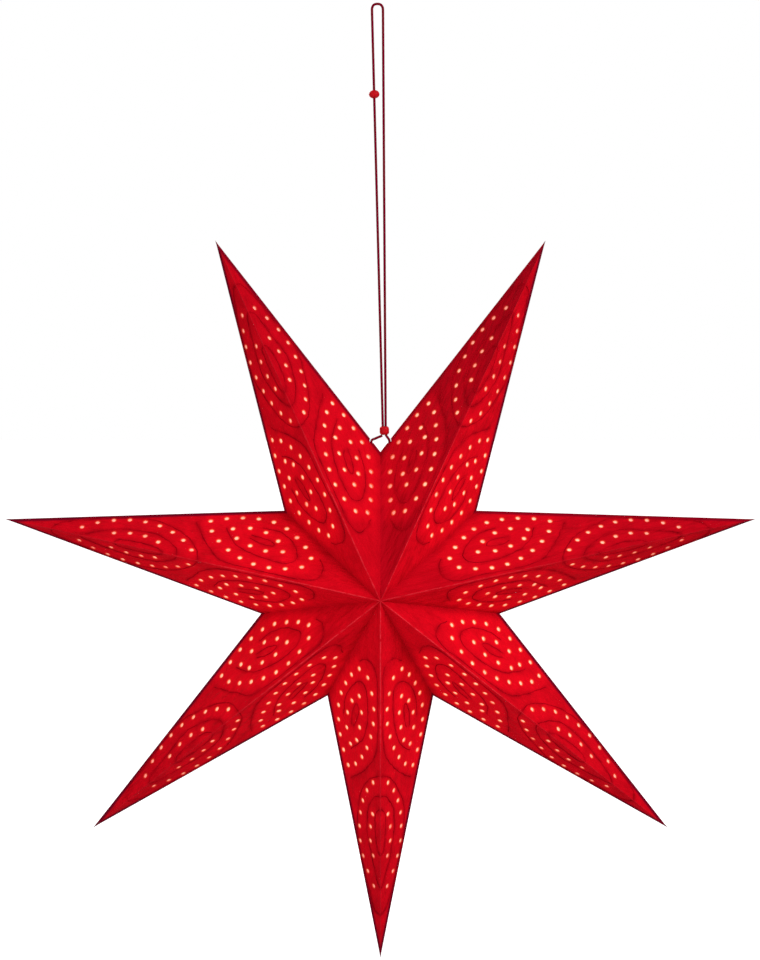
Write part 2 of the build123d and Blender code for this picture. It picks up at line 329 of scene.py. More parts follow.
def straight_run(start, end, step):
    count = max(1, round(np.linalg.norm(end - start) / step))
    return [start + (end - start) * i / count for i in range(count)]


def circle_round(centre, radius, sides):
    return [
        centre + radius * np.array([math.cos(2 * math.pi * i / sides), math.sin(2 * math.pi * i / sides)])
        for i in range(sides)
    ]


Sheet = namedtuple("Sheet", "places triangles ridge valley side")


def triangulate(loops, loose):
    """A flat sheet inside the first loop, open inside the others, with loose places between."""
    places = []
    edges = []
    for loop in loops:
        first = len(places)
        places += list(loop)
        edges += [(first + i, first + (i + 1) % len(loop)) for i in range(len(loop))]
    places += list(loose)
    flat = [Vector(place * 1000) for place in places]
    made = geometry.delaunay_2d_cdt(flat, edges, [], 0, 1e-5)
    return np.array(made[0]) / 1000, np.array([t for t in made[2] if len(t) == 3])


def inside_polygon(places, polygon):
    inside = np.zeros(len(places), bool)
    x, y = places.T
    for (x0, y0), (x1, y1) in zip(polygon, np.roll(polygon, -1, axis=0)):
        crosses = (y0 > y) != (y1 > y)
        rise = y1 - y0 if y1 != y0 else 1e-12
        inside ^= crosses & (x < (x1 - x0) * (y - y0) / rise + x0)
    return inside


def grid_inside(low, high, step):
    rows = np.arange(low[1], high[1], step * math.sqrt(0.75))
    columns = np.arange(low[0], high[0], step)
    return np.array([(x + (step / 2 if i % 2 else 0), y) for i, y in enumerate(rows) for x in columns])


def away_from(places, others, gap):
    if not len(others):
        return places
    nearest = np.min(np.linalg.norm(places[:, None, :] - np.asarray(others)[None], axis=2), axis=1)
    return places[nearest > gap]


def tie_notch(panel, hollow, point):
    """The half of the tie hole that a seam panel holds, as places from the valley's side towards the tip."""
    crease = (point - hollow) / np.linalg.norm(point - hollow)
    inward = np.array([crease[1], -crease[0]])
    if inward @ (-point) < 0:
        inward = -inward
    depth_share = abs((panel.along * inward[0] + panel.across * inward[1]).y)
    middle = hollow + crease * (TIE_HOLE_FROM_VALLEY - TIE_SLANT)
    turns = np.linspace(math.pi, 0, NOTCH_PLACES)
    return [
        middle + crease * TIE_HOLE_RADIUS * math.cos(t) + inward * TIE_HOLE_RADIUS / depth_share * math.sin(t)
        for t in turns
    ]


def finish_sheet(places, triangles, keep, point, hollow):
    """The kept triangles of a sheet, all turned alike, with each place's distance from the creases."""
    centres = places[triangles].mean(axis=1)
    triangles = triangles[keep(centres)]
    used = np.unique(triangles)
    places = places[used]
    triangles = np.searchsorted(used, triangles)
    a, b, c = (places[triangles[:, i]] for i in range(3))
    turned = (b - a)[:, 0] * (c - a)[:, 1] - (b - a)[:, 1] * (c - a)[:, 0] < 0
    triangles[turned] = triangles[turned][:, ::-1]
    apex = np.zeros(2)
    return Sheet(
        places, triangles, line_distance(places, apex, point), line_distance(places, apex, hollow),
        line_distance(places, hollow, point),
    )


def panel_corners(panel):
    flat = on_panel(panel, [panel.point, panel.hollow])[:, :2]
    return np.zeros(2), flat[0] * [1, 0], flat[1]


def cut_paper(panel):
    """The paper of one panel with its punched dots, fine enough to pucker along the stitches."""
    apex, point, hollow = panel_corners(panel)
    side = straight_run(point, hollow, EDGE_STEP)
    if panel.seam:
        notch = tie_notch(panel, hollow, point)
        side = straight_run(point, notch[-1], EDGE_STEP) + notch[::-1]
        side += straight_run(notch[0], hollow, EDGE_STEP)[1:]
    outline = straight_run(apex, point, EDGE_STEP) + side + straight_run(hollow, apex, EDGE_STEP)
    dots, radius = panel.dots, panel.dot_radius
    halo = radius + DOT_HALO
    stitches = away_from(stitch_places(panel, STITCH), dots, halo + HALO_STITCH_GAP)
    grid = away_from(grid_inside((0, 0), point + [0, hollow[1]], GRID_STEP), dots, halo + HALO_GRID_GAP)
    loose = np.concatenate([stitches, away_from(grid, stitches, MESH_GAP)])
    loose = loose[inside_polygon(loose, np.array(outline))]
    loose = away_from(loose, outline, MESH_GAP)
    rims = [circle_round(dot, radius, DOT_SIDES) for dot in dots]
    halos = np.concatenate([circle_round(dot, halo, HALO_SIDES) for dot in dots])
    halos = away_from(halos[inside_polygon(halos, np.array(outline))], outline, HALO_EDGE_GAP)
    places, triangles = triangulate([outline, *rims], np.concatenate([loose, halos]))

    def keep(centres):
        gaps = np.min(np.linalg.norm(centres[:, None] - dots[None], axis=2), axis=1)
        return inside_polygon(centres, np.array(outline)) & (gaps > radius * 0.9)

    return finish_sheet(places, triangles, keep, point, hollow)


def dot_distance(panel, places):
    """How far each place is from the nearest dot's rim."""
    gaps = np.linalg.norm(places[:, None] - panel.dots[None], axis=2)
    return np.maximum(gaps.min(axis=1) - panel.dot_radius, 0.0)


def cut_lining(panel):
    """The pale sheet glued behind the dots of one panel."""
    apex, point, hollow = panel_corners(panel)
    valley_line = hollow / np.linalg.norm(hollow)
    side_line = (point - hollow) / np.linalg.norm(point - hollow)

    def reach_across(along):
        """How far across the sheet reaches at a place along the ridge."""
        by_valley = (along * valley_line[1] - LINING_INSET) / valley_line[0]
        by_side = ((along - hollow[0]) * side_line[1] - LINING_FROM_SIDE) / side_line[0] + hollow[1]
        return min(by_valley, by_side)

    marks = np.arange(LINING_FROM, LINING_TO, LINING_STEP)
    outline = [np.array([x, LINING_FROM_RIDGE]) for x in marks]
    outline += [np.array([x, reach_across(x)]) for x in marks[::-1]]
    grid = grid_inside((0, 0), point + [0, hollow[1]], LINING_STEP)
    stitches = stitch_places(panel, STITCH)
    loose = np.concatenate([stitches, away_from(grid, stitches, LINING_STEP / 3)])
    loose = away_from(loose[inside_polygon(loose, np.array(outline))], outline, LINING_STEP / 3)
    places, triangles = triangulate([outline], loose)
    return finish_sheet(places, triangles, lambda c: inside_polygon(c, np.array(outline)), point, hollow)


# Shape of the paper in space


def paper_waves(panel, places):
    return np.array([
        noise.noise(Vector((u * WAVE_SCALE, v * WAVE_SCALE, panel.seed)))
        + FINE_WAVES * noise.noise(Vector((u * 3 * WAVE_SCALE, v * 3 * WAVE_SCALE, panel.seed + 40)))
        for u, v in places
    ])


def stitch_distance(panel, places):
    sewn = stitch_places(panel, STITCH / 2)
    return np.min(np.linalg.norm(places[:, None] - sewn[None], axis=2), axis=1)


def raise_places(panel, places, leans):
    """Places of the paper's middle surface in space: waves, puckered stitches and rounded creases."""
    apex, point, hollow = panel_corners(panel)
    ridge = line_distance(places, apex, point)
    fold = line_distance(places, apex, hollow)
    side = line_distance(places, hollow, point)
    edge = np.minimum(np.minimum(ridge, fold), side)
    fade = smooth_step(edge / WAVE_FADE)
    to_stitch = stitch_distance(panel, places)
    pucker = PUCKER_DEPTH * np.exp(-((to_stitch / PUCKER_REACH) ** 2)) * fade
    height = WAVE_HEIGHT * paper_waves(panel, places) * fade - pucker
    height = np.clip(
        height, -RIDGE_ROOM * ridge * WAVE_ROOM_SHARE, VALLEY_ROOM * fold * WAVE_ROOM_SHARE
    )
    space = np.array(panel.apex) + places @ np.array([panel.along, panel.across])
    space = space + height[:, None] * np.array(panel.out)
    end_fade = smooth_step(places[:, 0] / CREASE_END_FADE) * smooth_step(side / CREASE_END_FADE)
    ridge_dip = RIDGE_ROUND * np.clip(1 - ridge / RIDGE_REACH, 0, 1) ** 2
    ridge_dip = ridge_dip * end_fade * smooth_step(fold / CREASE_CROSS_FADE)
    valley_lift = (SEAM_ROUND if panel.seam else VALLEY_ROUND) * np.clip(1 - fold / VALLEY_REACH, 0, 1) ** 2
    valley_lift = valley_lift * end_fade * smooth_step(ridge / CREASE_CROSS_FADE)
    return space - ridge_dip[:, None] * leans["ridge"] + valley_lift[:, None] * leans["valley"]


def sheet_leans(sheet, panel, leans):
    """Thickness direction at each place: square to the panel, but shared with the neighbour at a crease."""
    apex, point, hollow = panel_corners(panel)
    lean = np.tile(np.array(panel.out), (len(sheet.places), 1))
    for crease, gap in (("ridge", sheet.ridge), ("valley", sheet.valley), ("side", sheet.side)):
        lean[gap < ON_CREASE] = leans[crease]
    for corner, place in (("apex", apex), ("tip", point), ("hollow", hollow)):
        lean[np.linalg.norm(sheet.places - place, axis=1) < ON_CREASE] = leans[corner]
    return lean


def thickness_shares(sheet):
    """The share of its half thickness that the paper keeps above and below its middle: less at a fold."""
    half = PAPER / 2
    above = np.minimum((VALLEY_ROOM * sheet.valley - CREASE_PRESS) / half, 1.0)
    above[sheet.ridge < ON_CREASE] = 1.0
    below = np.minimum((RIDGE_ROOM * sheet.ridge - CREASE_PRESS) / half, 1.0)
    below = np.maximum(below, LEAST_SHARE - above)
    edge = np.minimum(EDGE_SHARE + RIDGE_ROOM * sheet.side / half, 1.0)
    return np.minimum(above, edge)[:, None], np.minimum(below, edge)[:, None]


def thick_faces(triangles, count, mirrored):
    """Faces of a sheet with a top, a foot that is count places later, and walls along every open edge."""
    directed = np.concatenate([triangles[:, [0, 1]], triangles[:, [1, 2]], triangles[:, [2, 0]]])
    forward = set(map(tuple, directed))
    walls = [(b, a, a + count, b + count) for a, b in forward if (b, a) not in forward]
    faces = [tuple(t) for t in triangles] + [tuple(t[::-1] + count) for t in triangles] + sorted(walls)
    return [face[::-1] for face in faces] if mirrored else faces


def new_object(name, vertices, faces, material):
    mesh = bpy.data.meshes.new(name)
    mesh.from_pydata([tuple(v) for v in vertices], [], [tuple(int(i) for i in f) for f in faces])
    mesh.validate()
    mesh.shade_smooth()
    mesh.set_sharp_from_angle(angle=math.radians(SHARP_ANGLE))
    mesh.materials.append(material)
    piece = bpy.data.objects.new(name, mesh)
    bpy.context.scene.collection.objects.link(piece)
    return piece


def add_attribute(piece, name, values):
    attribute = piece.data.attributes.new(name, "FLOAT", "POINT")
    attribute.data.foreach_set("value", np.asarray(values, np.float32))


def is_mirrored(panel):
    return panel.along.cross(panel.across).dot(panel.out) < 0


def make_paper(panel, sheet, leans, material):
    """The paper of one panel, with the distances that its finish needs kept at each place."""
    middle = raise_places(panel, sheet.places, leans)
    lean = sheet_leans(sheet, panel, leans) * PAPER / 2
    above, below = thickness_shares(sheet)
    vertices = np.concatenate([middle + lean * above, middle - lean * below])
    faces = thick_faces(sheet.triangles, len(middle), is_mirrored(panel))
    piece = new_object(panel.name + "_paper", vertices, faces, material)
    for name, values in (
        ("along", sheet.places[:, 0]), ("across", sheet.places[:, 1]),
        ("to_ridge", sheet.ridge), ("to_valley", sheet.valley), ("to_side", sheet.side),
        ("to_stitch", stitch_distance(panel, sheet.places)), ("to_dot", dot_distance(panel, sheet.places)),
        ("panel_seed", np.full(len(middle), panel.seed)),
        ("panel_darkening", np.full(len(middle), DULL_PANELS.get(panel.name, 0.0))),
    ):
        add_attribute(piece, name, np.tile(values, 2))
    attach(piece, panel.body)
    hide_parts(panel.name)


def make_lining(panel, sheet, leans, material):
    out = np.array(panel.out)
    depth = np.minimum(LINING_DEPTH, RIDGE_ROOM * sheet.ridge * LINING_ROOM_SHARE)
    top = raise_places(panel, sheet.places, leans) - out * depth[:, None]
    vertices = np.concatenate([top, top - out * LINING])
    piece = new_object(
        panel.name + "_lining", vertices, thick_faces(sheet.triangles, len(top), is_mirrored(panel)), material
    )
    # Painted shade: the lining's light dims towards the seam valley
    seam_shading = smooth_step(sheet.valley / SEAM_SHADE_REACH) if panel.seam else np.ones(len(top))
    add_attribute(piece, "seam_shading", np.tile(seam_shading, 2))
    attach(piece, panel.body)


def make_stitches(panel, leans, material):
    """One sewn thread per stitch line, pinched between stitches."""
    vertices = []
    faces = []
    out = np.array(panel.out)
    for line in stitch_lines(panel):
        flat = sewn_line(panel, line, STITCH / 2)
        middle = raise_places(panel, flat, leans) + out * (PAPER / 2 + THREAD_LIFT)
        ahead = np.gradient(middle, axis=0)
        ahead /= np.linalg.norm(ahead, axis=1)[:, None]
        aside = np.cross(ahead, out)
        radius = np.where(np.arange(len(middle)) % 2 == 0, THREAD_PINCH, 1.0) * THREAD_RADIUS
        first = len(vertices)
        for place, sideways, r in zip(middle, aside, radius):
            vertices += [
                place + sideways * r, place + out * r * THREAD_FLAT, place - sideways * r, place - out * r
            ]
        rings = len(middle)
        for ring in range(rings - 1):
            for i in range(4):
                j = (i + 1) % 4
                a = first + 4 * ring
                faces.append((a + i, a + 4 + i, a + 4 + j, a + j))
        last = first + 4 * (rings - 1)
        faces += [(first, first + 1, first + 2, first + 3), (last + 3, last + 2, last + 1, last)]
    piece = new_object(panel.name + "_stitches", vertices, faces, material)
    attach(piece, panel.body)


# Cords and beads

CORD_RADIUS = 0.00125
CORD_LOBES = 3
CORD_TWIST = 0.0052
CORD_SIDES = 12
CORD_LOBE_RISE = 0.02
CORD_STEP = 0.0009
ROUTE_STEPS = 40
LOOP_SIDE = 0.0055
HOOK_RUN = 0.0125
EYE_LEVEL = CENTRE.z + 0.112
EYE_RUN = 0.006
TIE_SPLIT = 0.0016
TIE_GAP = 0.0004
CINCH_FOOT = CENTRE + Vector((0.004, 0.0, 0.1541))
STRAND_SIDE = Vector((0.00135, 0.0, 0.0))
LEFT_END = Vector((-0.0007, 0.0, -0.0006))
LOOP_TOP = Vector((0.0, 0.0, CORD_RADIUS))

# Straight runs kept into and out of each bend of the cords
EYE_BEND = (0.004, 0.005)
HOLE_BEND = (0.003, 0.003)
CINCH_BEND = (0.0025, 0.003)
HOOK_UP = (HOOK_RUN, 0.0)
HOOK_DOWN = (0.0, HOOK_RUN)
LEFT_EYE_BEND = (0.005, 0.0035)


def tie_hole(point, hollow):
    return hollow + (point - hollow).normalized() * TIE_HOLE_FROM_VALLEY


def with_bends(route, runs):
    """The route with a place before and after each corner, so that the cord is straight between its bends."""
    places = [route[0]]
    for before, corner, after, (run_in, run_out) in zip(route, route[1:], route[2:], runs):
        if run_in:
            places.append(corner + (before - corner).normalized() * run_in)
        places.append(corner)
        if run_out:
            places.append(corner + (after - corner).normalized() * run_out)
    return places + [route[-1]]


HANGING_ROUTE = with_bends(
    [
        Vector((CENTRE.x - TIE_SPLIT, 0.0, EYE_LEVEL)),
        Vector((CENTRE.x + EYE_RUN, 0.0, EYE_LEVEL)),
        tie_hole(tip(1), valley(0)),
        CINCH_FOOT + STRAND_SIDE,
        LOOP_TOP + Vector((LOOP_SIDE, 0.0, 0.0)),
        LOOP_TOP - Vector((LOOP_SIDE, 0.0, 0.0)),
        CINCH_FOOT - STRAND_SIDE,
    ],
    [EYE_BEND, HOLE_BEND, CINCH_BEND, HOOK_UP, HOOK_DOWN],
)
LEFT_ROUTE = with_bends(
    [
        CINCH_FOOT - STRAND_SIDE + LEFT_END,
        tie_hole(tip(POINT_COUNT), valley(0)),
        Vector((CENTRE.x - EYE_RUN, 0.0, EYE_LEVEL)),
        Vector((CENTRE.x - TIE_SPLIT - TIE_GAP, 0.0, EYE_LEVEL)),
    ],
    [HOLE_BEND, LEFT_EYE_BEND],
)


def route_places(name, route):
    """Places along the smooth line of a cord's route."""
    curve = bpy.data.curves.new(name, "CURVE")
    curve.dimensions = "3D"
    curve.resolution_u = ROUTE_STEPS
    spline = curve.splines.new("NURBS")
    spline.points.add(len(route) - 1)
    for control, place in zip(spline.points, route):
        control.co = (*place, 1.0)
    spline.order_u = 3
    spline.use_endpoint_u = True
    holder = bpy.data.objects.new(name, curve)
    mesh = bpy.data.meshes.new_from_object(holder)
    places = [v.co.copy() for v in mesh.vertices]
    bpy.data.objects.remove(holder)
    bpy.data.meshes.remove(mesh)
    bpy.data.curves.remove(curve)
    return places


def make_cord(name, node, route, body, material):
    """A laid cord of three twisted strands along its route."""
    middle, marks = spaced_along(np.array(route_places(name + "_route", route)), CORD_STEP)
    ahead = np.gradient(middle, axis=0)
    ahead /= np.linalg.norm(ahead, axis=1)[:, None]
    front = np.array([0.0, -1.0, 0.0])
    aside = np.cross(ahead, front)
    vertices = []
    for place, sideways, mark in zip(middle, aside, marks):
        twist = 2 * math.pi * mark / (CORD_TWIST * CORD_LOBES)
        for i in range(CORD_SIDES):
            turn = 2 * math.pi * i / CORD_SIDES
            radius = CORD_RADIUS * (1.0 + CORD_LOBE_RISE * math.cos(CORD_LOBES * (turn - twist)))
            vertices.append(place + radius * (sideways * math.cos(turn) + front * math.sin(turn)))
    faces = []
    for ring in range(len(middle) - 1):
        for i in range(CORD_SIDES):
            a = ring * CORD_SIDES + i
            b = ring * CORD_SIDES + (i + 1) % CORD_SIDES
            faces.append((a, b, b + CORD_SIDES, a + CORD_SIDES))
    last = (len(middle) - 1) * CORD_SIDES
    faces += [tuple(range(CORD_SIDES))[::-1], tuple(range(last, last + CORD_SIDES))]
    piece = new_object(name, vertices, faces, material)
    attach(piece, body)
    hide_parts(node)


# Materials


def new_material(name):
    material = bpy.data.materials.new(name)
    material.use_nodes = True
    nodes = material.node_tree.nodes
    nodes.clear()
    output = nodes.new("ShaderNodeOutputMaterial")
    shader = nodes.new("ShaderNodeBsdfPrincipled")
    material.node_tree.links.new(shader.outputs[0], output.inputs["Surface"])
    return material, material.node_tree, shader


def add_node(tree, kind, inputs=(), **settings):
    """A node with its settings, and its inputs given as values or as other nodes' outputs."""
    node = tree.nodes.new(kind)
    for name, value in settings.items():
        setattr(node, name, value)
    for key, value in dict(inputs).items():
        if isinstance(value, bpy.types.NodeSocket):
            tree.links.new(value, node.inputs[key])
        else:
            node.inputs[key].default_value = value
    return node


def math_node(tree, operation, first, second=0.0):
    return add_node(tree, "ShaderNodeMath", {0: first, 1: second}, operation=operation).outputs[0]


def ramp_value(tree, value, low, high, start=0.0, end=1.0):
    """A value that goes from start to end as another goes from low to high."""
    return add_node(
        tree, "ShaderNodeMapRange",
        {"Value": value, "From Min": low, "From Max": high, "To Min": start, "To Max": end},
        interpolation_type="SMOOTHSTEP",
    ).outputs["Result"]


def mix_colours(tree, share, first, second, blend="MIX"):
    node = add_node(tree, "ShaderNodeMix", data_type="RGBA", blend_type=blend)
    for index, value in ((0, share), (6, first), (7, second)):
        if isinstance(value, bpy.types.NodeSocket):
            tree.links.new(value, node.inputs[index])
        else:
            node.inputs[index].default_value = value
    return node.outputs[2]


def panel_value(tree, name):
    return add_node(tree, "ShaderNodeAttribute", attribute_name=name).outputs["Fac"]


MOTTLE_DETAIL = 6.0
MOTTLE_ROUGHNESS = 0.62
MOTTLE_SPREAD = (0.28, 0.72)


def mottle_group():
    """Two colours mottled together, with the same pattern as a height."""
    group = bpy.data.node_groups.new("mottle", "ShaderNodeTree")
    for name, kind, direction in (
        ("Place", "NodeSocketVector", "INPUT"), ("Scale", "NodeSocketFloat", "INPUT"),
        ("Dark", "NodeSocketColor", "INPUT"), ("Light", "NodeSocketColor", "INPUT"),
        ("Color", "NodeSocketColor", "OUTPUT"), ("Height", "NodeSocketFloat", "OUTPUT"),
    ):
        group.interface.new_socket(name, in_out=direction, socket_type=kind)
    start = group.nodes.new("NodeGroupInput")
    end = group.nodes.new("NodeGroupOutput")
    pattern = add_node(
        group, "ShaderNodeTexNoise",
        {
            "Vector": start.outputs["Place"], "Scale": start.outputs["Scale"], "Detail": MOTTLE_DETAIL,
            "Roughness": MOTTLE_ROUGHNESS,
        },
    )
    share = ramp_value(group, pattern.outputs["Fac"], *MOTTLE_SPREAD)
    group.links.new(
        mix_colours(group, share, start.outputs["Dark"], start.outputs["Light"]), end.inputs["Color"]
    )
    group.links.new(share, end.inputs["Height"])
    return group


MOTTLE = mottle_group()


def mottled(tree, place, scale, dark, light):
    node = add_node(tree, "ShaderNodeGroup", node_tree=MOTTLE)
    tree.links.new(place, node.inputs["Place"])
    node.inputs["Scale"].default_value = scale
    node.inputs["Dark"].default_value = (*dark, 1.0)
    node.inputs["Light"].default_value = (*light, 1.0)
    return node.outputs["Color"], node.outputs["Height"]


def object_place(tree):
    return add_node(tree, "ShaderNodeTexCoord").outputs["Object"]


def noise_pattern(tree, place, scale, detail):
    return add_node(
        tree, "ShaderNodeTexNoise", {"Vector": place, "Scale": scale, "Detail": detail}
    ).outputs["Fac"]


def bump(tree, shader, height, distance, strength=1.0):
    node = add_node(tree, "ShaderNodeBump", {"Height": height, "Distance": distance, "Strength": strength})
    tree.links.new(node.outputs["Normal"], shader.inputs["Normal"])


LAMP_PLACE = CENTRE + Vector((0.0, 0.0, -0.005))


def lamp_distance(tree):
    return add_node(
        tree, "ShaderNodeVectorMath", {0: object_place(tree), 1: tuple(LAMP_PLACE)}, operation="DISTANCE"
    ).outputs["Value"]


# Red paper. A ramp is (from, to, share at from, share at to), mostly over a distance in metres
PAPER_DARK = (0.43, 0.0009, 0.0064)
PAPER_LIGHT = (0.58, 0.0014, 0.0088)
PAPER_MOTTLE = 60.0
PAPER_ROUGHNESS = 0.85
PAPER_SPECULAR = 0.015
FIBRE_STRETCH = 0.22
FIBRE_SCALE = 900.0
FIBRE_DETAIL = 4.0
FIBRE_STREAK = (0.35, 0.7, 0.0, 0.5)
FIBRE_COLOUR = (0.36, 0.0007, 0.0052, 1.0)
RIDGE_LINE = (0.0003, 0.0014)
# Pale ridge line: partly crease wear, partly a painted highlight
RIDGE_WEAR_AND_HIGHLIGHT = (0.08, 0.24, 0.60, 0.16)
WEAR_AND_HIGHLIGHT_BREAKS = (0.36, 0.60)
WORN_AND_HIGHLIT_COLOUR = (0.76, 0.045, 0.065, 1.0)
# Painted shade on the outer part of each ridge
RIDGE_SHADE = (0.14, 0.24, 0.0, 0.28)
RIDGE_SHADE_COLOUR = (0.26, 0.0006, 0.006, 1.0)
# Painted shade along the side creases
SIDE_CREASE_SHADE = (0.0026, 0.0058, 0.92, 0.0)
SIDE_SHADE_COLOUR = (0.10, 0.0004, 0.010, 1.0)
# Painted shade in the valleys
VALLEY_SHADE = (0.0005, 0.009, 0.42, 0.0)
VALLEY_SHADE_COLOUR = (0.30, 0.0004, 0.005, 1.0)
DULL_COLOUR = (0.30, 0.0006, 0.0060, 1.0)
# Painted shade beside the stitches, in patches
STITCH_SHADE_REACH = (0.0004, 0.0042, 0.55, 0.0)
STITCH_SHADE_SCALE = 70.0
STITCH_SHADE_DETAIL = 1.0
STITCH_SHADE_PATCHES = (0.36, 0.60, 0.15, 1.0)
STITCH_SHADE_COLOUR = (0.22, 0.0004, 0.004, 1.0)
WRINKLE_STRETCH = (1.6, 1.0, 1.0)
WRINKLE_SCALE = 130.0
WRINKLE_DETAIL = 2.0
WRINKLE_HEIGHT = 20.0
PAPER_RELIEF = 0.00025
RELIEF_STRENGTH = 0.8

# Light of the lamp through the paper
NO_LIGHT = (0.0, 0.0, 0.0, 1.0)
PAPER_GLOW = (0.09, 0.34, 0.085, 0.004)
LEAF_REACH = (0.003, 0.014, 1.0, 0.0)
LEAF_GLOW = (0.10, 0.34, 0.15, 0.02)
GLOW_COLOUR = (1.0, 0.003, 0.010, 1.0)
HALO_REACH = (0.0, 0.0014, 0.9, 0.0)
HALO_GLOW = (0.10, 0.36, 0.7, 0.25)
HALO_COLOUR = (0.85, 0.15, 0.055, 1.0)


def product(tree, first, second):
    return math_node(tree, "MULTIPLY", first, second)


def rest_of(tree, share):
    return math_node(tree, "SUBTRACT", 1.0, share)


def red_paper():
    """Matte handmade paper with fibres, pale ridges that are partly crease wear and partly a painted
    highlight, painted shade on the outer ridges, side creases, valleys and beside the stitches, and a glow
    from the lamp painted as emission.
    """
    material, tree, shader = new_material("red_paper")
    place = object_place(tree)
    along = panel_value(tree, "along")
    fibre_place = add_node(
        tree, "ShaderNodeCombineXYZ",
        {
            "X": product(tree, along, FIBRE_STRETCH), "Y": panel_value(tree, "across"),
            "Z": panel_value(tree, "panel_seed"),
        },
    ).outputs[0]

    # Colour
    colour, crinkle = mottled(tree, place, PAPER_MOTTLE, PAPER_DARK, PAPER_LIGHT)
    fibres = noise_pattern(tree, fibre_place, FIBRE_SCALE, FIBRE_DETAIL)
    colour = mix_colours(tree, ramp_value(tree, fibres, *FIBRE_STREAK), colour, FIBRE_COLOUR)
    on_ridge = rest_of(tree, ramp_value(tree, panel_value(tree, "to_ridge"), *RIDGE_LINE))
    # Pale ridge line: partly crease wear, partly a painted highlight, broken up by the fibres
    worn_and_highlit = product(tree, ramp_value(tree, along, *RIDGE_WEAR_AND_HIGHLIGHT), ramp_value(tree, fibres, *WEAR_AND_HIGHLIGHT_BREAKS))
    colour = mix_colours(tree, product(tree, worn_and_highlit, on_ridge), colour, WORN_AND_HIGHLIT_COLOUR)
    # Painted shade: a dark line along the outer part of each ridge
    ridge_shade = product(tree, ramp_value(tree, along, *RIDGE_SHADE), on_ridge)
    colour = mix_colours(tree, ridge_shade, colour, RIDGE_SHADE_COLOUR)
    # Painted shade along the side creases, where front and back panels meet
    edge = ramp_value(tree, panel_value(tree, "to_side"), *SIDE_CREASE_SHADE)
    colour = mix_colours(tree, edge, colour, SIDE_SHADE_COLOUR)
    # Painted shade beside the valley creases
    valley_shade = ramp_value(tree, panel_value(tree, "to_valley"), *VALLEY_SHADE)
    colour = mix_colours(tree, valley_shade, colour, VALLEY_SHADE_COLOUR)
    # Whole panels darkened by their amount in DULL_PANELS
    colour = mix_colours(tree, panel_value(tree, "panel_darkening"), colour, DULL_COLOUR)
    # Painted shade of the puckers beside the stitches, in patches
    sewn = product(
        tree, ramp_value(tree, panel_value(tree, "to_stitch"), *STITCH_SHADE_REACH),
        ramp_value(tree, noise_pattern(tree, place, STITCH_SHADE_SCALE, STITCH_SHADE_DETAIL), *STITCH_SHADE_PATCHES),
    )
    colour = mix_colours(tree, sewn, colour, STITCH_SHADE_COLOUR)
    tree.links.new(colour, shader.inputs["Base Color"])
    shader.inputs["Roughness"].default_value = PAPER_ROUGHNESS
    shader.inputs["Specular IOR Level"].default_value = PAPER_SPECULAR

    # Relief
    wrinkle_place = add_node(
        tree, "ShaderNodeVectorMath", {0: fibre_place, 1: WRINKLE_STRETCH}, operation="MULTIPLY"
    ).outputs[0]
    wrinkles = noise_pattern(tree, wrinkle_place, WRINKLE_SCALE, WRINKLE_DETAIL)
    relief = math_node(tree, "ADD", crinkle, fibres)
    relief = math_node(tree, "ADD", relief, product(tree, wrinkles, WRINKLE_HEIGHT))
    bump(tree, shader, relief, PAPER_RELIEF, RELIEF_STRENGTH)

    # Light
    near = lamp_distance(tree)
    to_dot = panel_value(tree, "to_dot")
    leaf = product(tree, ramp_value(tree, to_dot, *LEAF_REACH), ramp_value(tree, near, *LEAF_GLOW))
    glow = math_node(tree, "ADD", ramp_value(tree, near, *PAPER_GLOW), leaf)
    glow = product(tree, glow, rest_of(tree, edge))
    light = mix_colours(tree, glow, NO_LIGHT, GLOW_COLOUR)
    halo = product(tree, ramp_value(tree, to_dot, *HALO_REACH), ramp_value(tree, near, *HALO_GLOW))
    tree.links.new(mix_colours(tree, halo, light, HALO_COLOUR), shader.inputs["Emission Color"])
    shader.inputs["Emission Strength"].default_value = 1.0
    return material


# Lining paper
LINING_DARK = (0.40, 0.25, 0.17)
LINING_LIGHT = (0.50, 0.33, 0.24)
LINING_MOTTLE = 140.0
LINING_ROUGHNESS = 0.9
LINING_SPECULAR = 0.1
LINING_RELIEF = 0.0001
LINING_SHINE = (0.13, 0.37, 1.0, 0.0)
PATCH_SCALE = 75.0
PATCH_DETAIL = 2.0
LINING_PATCHES = (0.30, 0.46, 0.35, 1.0)
FAR_LIGHT = (0.62, 0.085, 0.085, 1.0)
NEAR_LIGHT = (0.86, 0.45, 0.27, 1.0)


def lining_paper():
    """Thin pale paper that the lamp shines through, its light painted as emission: warm near the lamp, redder
    far from it, and redder at the seam as painted shade.
    """
    material, tree, shader = new_material("lining_paper")
    place = object_place(tree)
    colour, height = mottled(tree, place, LINING_MOTTLE, LINING_DARK, LINING_LIGHT)
    tree.links.new(colour, shader.inputs["Base Color"])
    shader.inputs["Roughness"].default_value = LINING_ROUGHNESS
    shader.inputs["Specular IOR Level"].default_value = LINING_SPECULAR
    bump(tree, shader, height, LINING_RELIEF)
    patches = noise_pattern(tree, place, PATCH_SCALE, PATCH_DETAIL)
    shine = product(
        tree, ramp_value(tree, lamp_distance(tree), *LINING_SHINE), ramp_value(tree, patches, *LINING_PATCHES)
    )
    # Painted shade near the top seam
    shine = product(tree, shine, panel_value(tree, "seam_shading"))
    tree.links.new(mix_colours(tree, shine, FAR_LIGHT, NEAR_LIGHT), shader.inputs["Emission Color"])
    shader.inputs["Emission Strength"].default_value = 1.0
    return material


